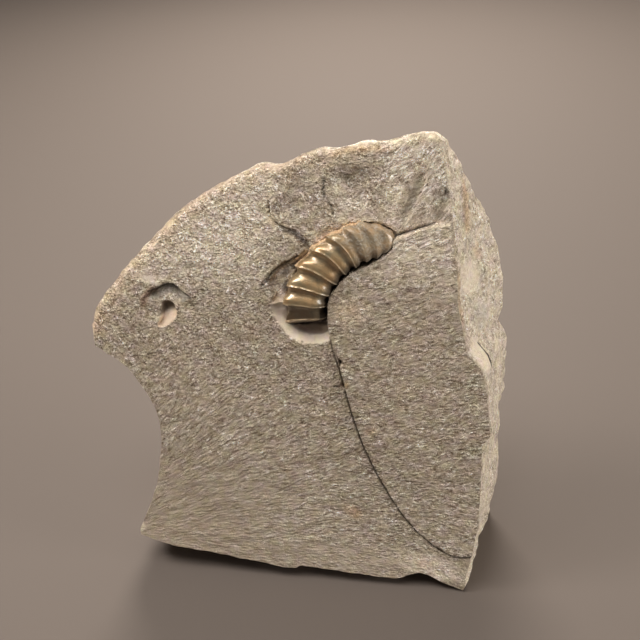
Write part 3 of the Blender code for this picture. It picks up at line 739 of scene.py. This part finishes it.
def off_half(tree, *parts):
    """The sum of each value's distance from one half times its weight."""
    total = 0.0
    for value, weight in parts:
        total = maths(tree, "MULTIPLY_ADD", maths(tree, "SUBTRACT", value, 0.5), weight, total)
    return total


def vectors(tree, operation, first, second=None, scale=None):
    node = tree.nodes.new("ShaderNodeVectorMath")
    node.operation = operation
    wire(tree, node, i0=first)
    if second is not None:
        wire(tree, node, i1=second)
    if scale is not None:
        wire(tree, node, Scale=scale)
    return node.outputs[0]


def length_of(tree, vector):
    node = tree.nodes.new("ShaderNodeVectorMath")
    node.operation = "LENGTH"
    return wire(tree, node, i0=vector).outputs["Value"]


def noise_at(tree, place, scale, detail=2.0, roughness=0.6):
    node = tree.nodes.new("ShaderNodeTexNoise")
    return wire(tree, node, Vector=place, Scale=scale, Detail=detail, Roughness=roughness).outputs[0]


def remap(tree, value, low, high, to_low=0.0, to_high=1.0):
    node = tree.nodes.new("ShaderNodeMapRange")
    return wire(tree, node, Value=value, i1=low, i2=high, i3=to_low, i4=to_high).outputs[0]


def blend_colours(tree, factor, first, second):
    node = tree.nodes.new("ShaderNodeMix")
    node.data_type = "RGBA"
    wire(tree, node, i0=factor, i6=first, i7=second)
    return node.outputs[2]


def layered(tree, colour, layers):
    """Lay colours over a first one, each by its amount."""
    for amount, over in layers:
        colour = blend_colours(tree, amount, colour, over)
    return colour


def stored(tree, name, output="Fac"):
    node = tree.nodes.new("ShaderNodeAttribute")
    node.attribute_name = name
    return node.outputs[output]


def use_group(tree, group, place, shift=None, **settings):
    """One of the shared effects at a place, or shifted so that it gets a part of its own."""
    if shift:
        place = vectors(tree, "ADD", place, shift)
    node = tree.nodes.new("ShaderNodeGroup")
    node.node_tree = group
    return wire(tree, node, Place=place, **settings).outputs[0]


def new_material(name):
    """A material, its nodes and its main shader."""
    material = bpy.data.materials.new(name)
    material.use_nodes = True
    return material, material.node_tree, material.node_tree.nodes["Principled BSDF"]


def set_shader(tree, shader, height, **settings):
    """Set or link the shader's inputs by name, and bend its surface by a height in mm."""
    bump = tree.nodes.new("ShaderNodeBump")
    wire(tree, bump, Strength=1.0, Distance=MM, Height=height)
    wire(tree, shader, Normal=bump.outputs[0], **settings)


# Grain: fine relief, smeared along the way the stone split
grain_group, given, result = new_group("split grain", "Height", Place=None, Lay=None, Size=1.0, Detail=1.5)
grain_scale = maths(grain_group, "DIVIDE", 1.0, given["Size"])
grain_step = vectors(grain_group, "SCALE", given["Lay"], scale=times(grain_group, given["Size"], 0.55))
total = 0.0
for k in (-2, -1, 0, 1, 2):
    along = vectors(grain_group, "SCALE", grain_step, scale=float(k))
    at = vectors(grain_group, "ADD", given["Place"], along)
    total = maths(grain_group, "ADD", total, noise_at(grain_group, at, grain_scale, given["Detail"]))
gain = maths(grain_group, "ADD", length_of(grain_group, given["Lay"]), 1.0)
centred = maths(grain_group, "SUBTRACT", times(grain_group, total, 0.2), 0.5)
grain_group.links.new(maths(grain_group, "MULTIPLY_ADD", centred, gain, 0.5), result)

# Mottle: broad patches of a value from 0 to 1
mottle_group, given, result = new_group("mottle", "Amount", Place=None, Size=10.0, Softness=0.15)
patches = noise_at(mottle_group, given["Place"], maths(mottle_group, "DIVIDE", 1.0, given["Size"]), 4.0, 0.6)
low_end = maths(mottle_group, "SUBTRACT", 0.5, given["Softness"])
high_end = maths(mottle_group, "ADD", 0.5, given["Softness"])
mottle_group.links.new(remap(mottle_group, patches, low_end, high_end), result)

# Arc line: 1 on a stretch of a thin arc that lies in the up and proud directions
arc_group, given, result = new_group("arc line", "Amount", Place=None, Centre=None, Radius=5.0, Middle=None,
                                     Reach=4.0, Width=0.3)
shares = []
for target in ("Centre", "Middle"):
    away = vectors(arc_group, "SUBTRACT", given["Place"], given[target])
    shares.append(length_of(arc_group, vectors(arc_group, "MULTIPLY", away, (0.0, 1.0, 1.0))))
off_arc = maths(arc_group, "ABSOLUTE", maths(arc_group, "SUBTRACT", shares[0], given["Radius"]))
on_arc = remap(arc_group, maths(arc_group, "DIVIDE", off_arc, given["Width"]), 0.5, 1.0, 1.0, 0.0)
past_reach = maths(arc_group, "DIVIDE", shares[1], given["Reach"])
in_reach = remap(arc_group, past_reach, 0.8, 1.0, 1.0, 0.0)
arc_group.links.new(times(arc_group, on_arc, in_reach), result)

STONE_GREY = (0.575, 0.492, 0.380, 1.0)
STONE_OLIVE = (0.540, 0.478, 0.365, 1.0)
STONE_ROSY = (0.580, 0.465, 0.365, 1.0)
STONE_PALE = (0.945, 0.842, 0.685, 1.0)
# Mauve for painted shade in the moulds
STONE_MAUVE_SHADE = (0.240, 0.150, 0.115, 1.0)
STONE_SLATE = (0.430, 0.430, 0.395, 1.0)
STONE_RUST = (0.760, 0.520, 0.300, 1.0)
# Near black, for dirt and painted shade
STONE_DIRT_AND_SHADE = (0.045, 0.036, 0.028, 1.0)
SIDE_GREY = (0.600, 0.528, 0.425, 1.0)
SIDE_CREAM = (0.930, 0.828, 0.675, 1.0)
FLECK_DEPTH = (5.2, 6.5, 8.4)   # how far the flecks go to light and dark, in red, green and blue
TINT_SCALE, GREEN_TINT, BLUE_TINT = 0.42, (0.925, 1.010), (0.880, 1.030)
STONE_ROUGHNESS = 0.88
DUST_SCALE, PATCH_SCALE, PATCHINESS = 3.8, 0.40, (0.35, 1.65)
LIP_CENTRE, LIP_RADIUS, LIP_MIDDLE = (0.0, 62.74, -16.25), 7.27, (0.0, 60.2, -9.7)
LIP_REACH, LIP_WIDTH = 4.2, 0.60

mudstone, tree, shader = new_material("grey mudstone")
place, lay_out = stored(tree, "slab_place", "Vector"), stored(tree, "grain_lay", "Vector")
coarse = use_group(tree, grain_group, place, Lay=lay_out, Size=0.62, Detail=2.5)
flecks = use_group(tree, grain_group, place, (13.0, 5.0, 2.0), Lay=lay_out, Size=0.85, Detail=4.0)
dust_fine = noise_at(tree, place, DUST_SCALE)
patchy = remap(tree, noise_at(tree, place, PATCH_SCALE), 0.30, 0.70, *PATCHINESS)
grain_amount = times(tree, stored(tree, "grain"), patchy)
wide_mottle = use_group(tree, mottle_group, place, Size=17.0, Softness=0.16)
near_mottle = use_group(tree, mottle_group, place, (31.0, 7.0, 3.0), Size=5.5, Softness=0.20)
side_mottle = use_group(tree, mottle_group, place, Size=2.6, Softness=0.10)

broken_side = layered(tree, SIDE_GREY, ((near_mottle, SIDE_CREAM),
                                        (times(tree, side_mottle, 0.65), SIDE_CREAM)))
# The pale layer also holds painted highlights; the mauve layer is painted shade.
colour = layered(tree, STONE_OLIVE, (
    (wide_mottle, STONE_GREY),
    (times(tree, near_mottle, 0.55), STONE_ROSY),
    (stored(tree, "broken"), broken_side),
    (times(tree, stored(tree, "slate"), 0.8), STONE_SLATE),
    (times(tree, stored(tree, "pale_and_highlight"), 0.90), STONE_PALE),
    (times(tree, stored(tree, "rust"), remap(tree, near_mottle, 0.0, 1.0, 0.25, 0.85)), STONE_RUST),
    (times(tree, stored(tree, "mauve_shade"), 0.7), STONE_MAUVE_SHADE),
))
# Flecks of lighter and darker stone. The coarse grain is also the relief, so part of this paints light onto
# high grains and shade into low ones.
tone = times(tree, off_half(tree, (flecks, 1.2), (dust_fine, 1.55), (coarse, 0.9)), grain_amount)
speckle, tint = tree.nodes.new("ShaderNodeCombineXYZ"), tree.nodes.new("ShaderNodeCombineXYZ")
for channel, strength in zip("XYZ", FLECK_DEPTH):
    wire(tree, speckle, **{channel: maths(tree, "POWER", strength, tone)})
wire(tree, tint, X=1.0)
for channel, shift, limits in (("Y", (3.0, 19.0, 5.0), GREEN_TINT), ("Z", (23.0, 2.0, 9.0), BLUE_TINT)):
    wide = noise_at(tree, vectors(tree, "ADD", place, shift), TINT_SCALE)
    wire(tree, tint, **{channel: remap(tree, wide, 0.32, 0.68, *limits)})
for factors in (speckle, tint):
    colour = vectors(tree, "MULTIPLY", colour, factors.outputs[0])
lip_crack = use_group(tree, arc_group, place, Centre=LIP_CENTRE, Radius=LIP_RADIUS, Middle=LIP_MIDDLE,
                      Reach=LIP_REACH, Width=LIP_WIDTH)
# Dirt and painted shade, and a painted crack on the broken right side, take the colour towards near black.
dirt_and_shade_amount = maths(tree, "MAXIMUM", times(tree, stored(tree, "dirt_and_shade"), 0.88),
                    times(tree, lip_crack, stored(tree, "right_side")))
colour = blend_colours(tree, dirt_and_shade_amount, colour, STONE_DIRT_AND_SHADE)
relief = times(tree, off_half(tree, (dust_fine, 0.34), (coarse, 0.95)), grain_amount)
shader.inputs["Roughness"].default_value = STONE_ROUGHNESS
set_shader(tree, shader, relief, **{"Base Color": colour, "Specular IOR Level": 0.35})

block_mesh.materials.append(mudstone)


def stood(name, data):
    """A new object in the scene."""
    item = bpy.data.objects.new(name, data)
    bpy.context.scene.collection.objects.link(item)
    return item


block = stood("mudstone_block", block_mesh)
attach(block, "root")
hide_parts("matrix")

# ---- The ammonite's whorl ----------------------------------------------------------------
# A quarter turn of a ribbed shell, replaced by pyrite and gone bronze. It is rounded off and
# dusty at its narrow end and broken off at its wide one, and a tan crust clings along its
# outer side. It lies in its seat in the stone.

RIB_CRESTS = np.radians((91.5, 101.0, 110.5, 120.4, 131.0, 142.1, 154.8, 167.0, 177.8, 188.0, 198.0))
RIB_PLACES = (0.0, 0.05, 0.15, 0.30, 0.45, 0.60, 0.72, 0.84, 0.93, 1.0)     # from each crest to the next
RIB_RISES = (1.0, 0.72, 0.28, 0.05, 0.22, 0.60, 0.84, 0.90, 0.86, 1.0)
RIB_HEIGHT = 0.74
BRINK_WIDTH, BRINK_HEIGHT = 0.055, 0.10         # of the fine line along each crest
RIB_BEND = (np.radians((145.0, 178.0)), np.radians((5.0, 1.5)))             # at these angles along the whorl
KNOB_HEIGHT, KNOB_AT, KNOB_REACH = 0.48, math.radians(42.0), 0.40
SHOULDER_SQUARENESS = 0.24      # of the outer side
LAST_LOWERING = 0.60            # of the height, towards the broken end
CRUST_REACH = (np.radians((97.0, 108.0, 116.0, 127.0, 140.0, 155.0, 166.0, 180.0)),     # angle along
               np.radians((-30.0, -12.0, 10.0, 26.0, 27.0, 18.0, -2.0, -30.0)))        # round the tube
CRUST_THICKNESS = 0.38
LAST_SHOULDER = (math.radians(183.8), 0.25)     # where dust lies by the broken end
# Past this angle the last segment is painted a deep brown as shade, where it sinks away.
LAST_HOLLOW = math.radians(177.5)               # where the dark hollow past the last ribs begins
RINGS_PER_RIB = 26
WHORL_SIDES = 96

rib_numbers = np.arange(len(RIB_CRESTS))
body_angles = np.interp(np.arange(0.0, rib_numbers[-1], 1.0 / RINGS_PER_RIB), rib_numbers, RIB_CRESTS)
body_angles = body_angles[(body_angles > SPIRAL_START + 0.062) & (body_angles < SPIRAL_END - 0.012)]
tip_angles = SPIRAL_START + NARROW_END_LENGTH * np.linspace(0.04, 0.45, 12) ** (1.0 / NARROW_END_BLUNTNESS)
end_angles = SPIRAL_END - np.array([0.010, 0.0, 0.004, 0.020, 0.045, 0.060])
whorl_angles = np.concatenate([tip_angles, body_angles, end_angles])
tapers = whorl_taper(whorl_angles)
tapers[-6:] = 0.99, 0.95, 0.86, 0.74, 0.50, 0.20
ring_turn = np.linspace(0.0, 2.0 * math.pi, WHORL_SIDES, endpoint=False)
angle_grid, turn_grid = np.meshgrid(whorl_angles, ring_turn, indexing="ij")
taper_grid = np.repeat(tapers[:, None], WHORL_SIDES, axis=1)
part_grid = (angle_grid - SPIRAL_START) / (SPIRAL_END - SPIRAL_START)

bend = np.interp(angle_grid, *RIB_BEND) * np.cos(turn_grid) ** 2
past_crest = np.interp(angle_grid - bend, RIB_CRESTS, rib_numbers) % 1.0
rounded_rib = 0.5 + 0.5 * np.cos(2.0 * math.pi * past_crest)
lapped_rib = np.interp(past_crest, RIB_PLACES, RIB_RISES)
hump = between((rounded_rib, lapped_rib), ease(part_grid * 2.4))
brink = np.exp(-(np.minimum(past_crest, 1.0 - past_crest) / BRINK_WIDTH) ** 2)
brink *= 1.0 - 0.85 * ease(2.4 - 6.0 * part_grid)
ribbing = 0.60 + 0.40 * ease(part_grid * 2.5)
knob = KNOB_HEIGHT * np.exp(-((turn_grid - KNOB_AT) / KNOB_REACH) ** 2)
rise = ribbing * (hump * (RIB_HEIGHT + knob) + BRINK_HEIGHT * brink - 0.5 * RIB_HEIGHT)
up_side = np.where(turn_grid > 1.25 * math.pi, turn_grid - 2.0 * math.pi, turn_grid)
around = np.column_stack([angle_grid.ravel() * 20.0, up_side.ravel() * 4.5])
rough_edge = swell(around, 1.3, 4.0).reshape(angle_grid.shape)
crust = ease((np.interp(angle_grid, *CRUST_REACH) - up_side) / 0.22 + 2.2 * rough_edge) * (up_side > -1.3)
rise += crust * CRUST_THICKNESS * (0.55 + 1.7 * rough_edge)
rise += 0.35 * ease(-np.cos(turn_grid) * 1.6)
fall = last_fall(angle_grid)
outer = np.maximum(np.cos(turn_grid), 0.0)
squared = 1.0 - SHOULDER_SQUARENESS * ease(outer * 4.0)
half_width = between(WHORL_HALF_WIDTH, part_grid) * (1.0 - LAST_NARROWING * fall * outer)
half_height = between(WHORL_HALF_HEIGHT, part_grid) * (1.0 - LAST_LOWERING * fall)
across_share = np.sign(np.cos(turn_grid)) * np.abs(np.cos(turn_grid)) ** squared
up_share = np.sign(np.sin(turn_grid)) * np.abs(np.sin(turn_grid)) ** squared
out_by = spiral_radius(angle_grid) + across_share * (half_width + rise) * taper_grid
up_by = between(WHORL_SINK, part_grid) + up_share * (half_height + rise) * taper_grid
lean_grid = angle_grid + end_slant(angle_grid, np.cos(turn_grid) * taper_grid)
whorl_slab = np.stack([SPIRAL_CENTRE[0] + np.cos(lean_grid) * out_by,
                       SPIRAL_CENTRE[1] + np.sin(lean_grid) * out_by, up_by], axis=-1).reshape(-1, 3)
lumps = 0.05 * heave(whorl_slab, 1.6) + 0.09 * heave(whorl_slab, 4.0)

ids = np.arange(len(whorl_slab)).reshape(len(whorl_angles), WHORL_SIDES)
whorl_faces = []
for ring, onward in zip(ids, ids[1:]):
    whorl_faces += list(zip(ring, np.roll(ring, -1), np.roll(onward, -1), onward))
whorl_faces = [tuple(int(i) for i in f) for f in whorl_faces]
whorl_faces.append(tuple(int(i) for i in reversed(ids[0])))
whorl_faces.append(tuple(int(i) for i in ids[-1]))
whorl_mesh = bpy.data.meshes.new("ammonite_whorl")
whorl_mesh.from_pydata(stand_up(whorl_slab + lumps), [], whorl_faces)
bm = bmesh.new()
bm.from_mesh(whorl_mesh)
bmesh.ops.recalc_face_normals(bm, faces=bm.faces[:])
bm.to_mesh(whorl_mesh)
bm.free()
whorl_mesh.shade_smooth()
whorl_mesh.set_sharp_from_angle(angle=math.radians(60.0))

dusty = ease((0.46 - part_grid + 0.10 * rough_edge) / 0.22)
last_shoulder = np.hypot((angle_grid - LAST_SHOULDER[0]) / 0.055, (up_side - LAST_SHOULDER[1]) / 0.50)
end_dust = ease(1.5 - last_shoulder + 0.6 * rough_edge)
past_last = ease((angle_grid - LAST_HOLLOW) / 0.03) * (1.0 - 0.9 * brink)
# The broken end is painted near black, as its shadow.
broken_end = np.zeros(angle_grid.shape)
broken_end[-5:] = 1.0
store(whorl_mesh, "slab_place", whorl_slab)
for label, values in (("trough", 1.0 - hump), ("dusty", dusty), ("crust", crust),
                      ("inner_side", ease((up_side - 1.90) / 0.75)), ("broken_end", broken_end),
                      ("past_last", past_last), ("crest", brink), ("end_dust", end_dust)):
    store(whorl_mesh, label, values.ravel())

PYRITE_GOLD = (0.660, 0.480, 0.260, 1.0)
PYRITE_OLIVE = (0.370, 0.318, 0.190, 1.0)
PYRITE_ORANGE = (0.640, 0.345, 0.130, 1.0)
PYRITE_BROWN = (0.056, 0.040, 0.025, 1.0)
# A painted highlight along each crest
CREST_HIGHLIGHT = (0.820, 0.680, 0.480, 1.0)
CRUST_TAN = (0.830, 0.600, 0.370, 1.0)
CRUST_BROWN = (0.480, 0.290, 0.150, 1.0)
DUST_GREY = (0.480, 0.420, 0.335, 1.0)
DUST_BROWN = (0.300, 0.235, 0.165, 1.0)
# Near black: the painted shadow on the broken end
BROKEN_END_SHADE = (0.020, 0.015, 0.012, 1.0)

pyrite, tree, shader = new_material("bronzed pyrite")
place = stored(tree, "slab_place", "Vector")
grit = use_group(tree, grain_group, place, Lay=(0.0, 0.0, 0.0), Size=0.55, Detail=2.5)
patina = use_group(tree, mottle_group, place, Size=2.2, Softness=0.16)
warm = use_group(tree, mottle_group, place, (5.0, 9.0, 1.0), Size=3.2, Softness=0.12)

# The crest line carries a painted highlight, on the bare pyrite and on the dust.
crust_amount, crest_highlight_line = stored(tree, "crust"), stored(tree, "crest")
# Brown in the troughs is partly patina and partly painted shade under each crest; the inner side and the
# last segment are painted a deep brown as shade.
brown_amount = times(tree, remap(tree, stored(tree, "trough"), 0.35, 1.0),
                     remap(tree, patina, 0.0, 1.0, 0.34, 0.68))
for label, most in (("inner_side", 0.95), ("past_last", 0.75)):
    brown_amount = maths(tree, "MAXIMUM", brown_amount, times(tree, stored(tree, label), most))
dust_amount = times(tree, stored(tree, "dusty"), remap(tree, patina, 0.0, 1.0, 0.40, 1.0))
dust_amount = maths(tree, "MAXIMUM", dust_amount, stored(tree, "end_dust"))
dust = layered(tree, DUST_BROWN, ((remap(tree, grit, 0.38, 0.60), DUST_GREY),
                                  (times(tree, crest_highlight_line, 0.25), STONE_PALE)))
crust_colour = blend_colours(tree, remap(tree, grit, 0.36, 0.56), CRUST_BROWN, CRUST_TAN)
colour = layered(tree, PYRITE_GOLD, (
    (patina, PYRITE_OLIVE),
    (times(tree, warm, 0.60), PYRITE_ORANGE),
    (brown_amount, PYRITE_BROWN),
    (times(tree, crest_highlight_line, 0.4), CREST_HIGHLIGHT),
    (times(tree, dust_amount, 0.92), dust),
    (crust_amount, crust_colour),
    (stored(tree, "broken_end"), BROKEN_END_SHADE),
))
bare = remap(tree, stored(tree, "inner_side"), 0.0, 1.0, 1.0, 0.15)
for cover in (crust_amount, times(tree, dust_amount, 0.80), stored(tree, "broken_end")):
    bare = times(tree, bare, maths(tree, "SUBTRACT", 1.0, cover))
shader.inputs["Coat Roughness"].default_value = 0.24
shader.inputs["Coat IOR"].default_value = 1.85
set_shader(tree, shader, times(tree, grit, remap(tree, bare, 0.0, 1.0, 0.30, 0.09)),
           Metallic=times(tree, bare, 0.55), Roughness=remap(tree, bare, 0.0, 1.0, 0.85, 0.40),
           **{"Base Color": colour, "Coat Weight": times(tree, bare, 0.90)})

whorl_mesh.materials.append(pyrite)
whorl = stood("ammonite_whorl", whorl_mesh)
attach(whorl, "root")
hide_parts("ammonite")

# ---- The table top, the light and the camera -----------------------------------------------
# A plain matt surface far larger than the stone. Soft warm lights stand at the upper left,
# above and behind, and one stands low on the right for the broken side. The camera looks
# down on the leaning face.

FLOOR_COLOUR = (0.148, 0.1210, 0.1035, 1.0)
ROOM_COLOUR, ROOM_STRENGTH = (1.0, 0.96, 0.92, 1.0), 0.08
MIDDLE = Vector((0.0, 0.0, 0.055))
CAMERA_PLACE, CAMERA_BACK = (0.0223, -0.1633, 0.1832), (0.1140, -0.8112, 0.5736)

# Each lamp: its name, place, size, power in watts and colour
LAMPS = (
    ("upper left", (-0.28, -0.02, 0.40), 0.13, 0.80, (1.0, 0.95, 0.90)),
    ("front left", (-0.20, -0.10, 0.42), 0.12, 0.31, (1.0, 0.95, 0.90)),
    ("above", (-0.04, -0.13, 0.62), 0.30, 1.30, (1.0, 0.95, 0.90)),
    ("above and behind", (-0.10, 0.25, 0.60), 0.35, 0.50, (1.0, 0.95, 0.88)),
    ("behind", (-0.04, 0.50, 0.38), 0.30, 4.0, (1.0, 0.93, 0.85)),
    ("right", (0.72, -0.10, 0.20), 0.30, 3.0, (1.0, 0.95, 0.88)),
)

floor_mesh = bpy.data.meshes.new("table_top")
floor_mesh.from_pydata([(-3, -3, 0), (3, -3, 0), (3, 3, 0), (-3, 3, 0)], [], [(0, 1, 2, 3)])
table_top = stood("table_top", floor_mesh)
paint, tree, shader = new_material("pale table top")
shader.inputs["Base Color"].default_value = FLOOR_COLOUR
shader.inputs["Roughness"].default_value = 0.8
floor_mesh.materials.append(paint)

world = bpy.data.worlds.new("studio")
bpy.context.scene.world = world
world.use_nodes = True
world.node_tree.nodes["Background"].inputs["Color"].default_value = ROOM_COLOUR
world.node_tree.nodes["Background"].inputs["Strength"].default_value = ROOM_STRENGTH

for name, place, size, power, colour in LAMPS:
    lamp = bpy.data.lights.new(name, "AREA")
    lamp.shape, lamp.size, lamp.energy, lamp.color = "DISK", size, power, colour
    stand = stood(name, lamp)
    stand.location = place
    stand.rotation_euler = (stand.location - MIDDLE).to_track_quat("Z", "Y").to_euler()

camera_data = bpy.data.cameras.new("camera")
camera_data.lens, camera_data.sensor_width = 50.0, 36.0
camera_data.clip_start, camera_data.clip_end = 0.01, 20.0
camera = stood("camera", camera_data)
camera.location = CAMERA_PLACE
roll = Matrix.Rotation(ROLL, 3, "Y")
aim = roll @ Vector(CAMERA_BACK).to_track_quat("Z", "Y").to_matrix()
camera.rotation_euler = aim.to_euler()
bpy.context.scene.camera = camera
bpy.context.scene.view_settings.view_transform = "Standard"
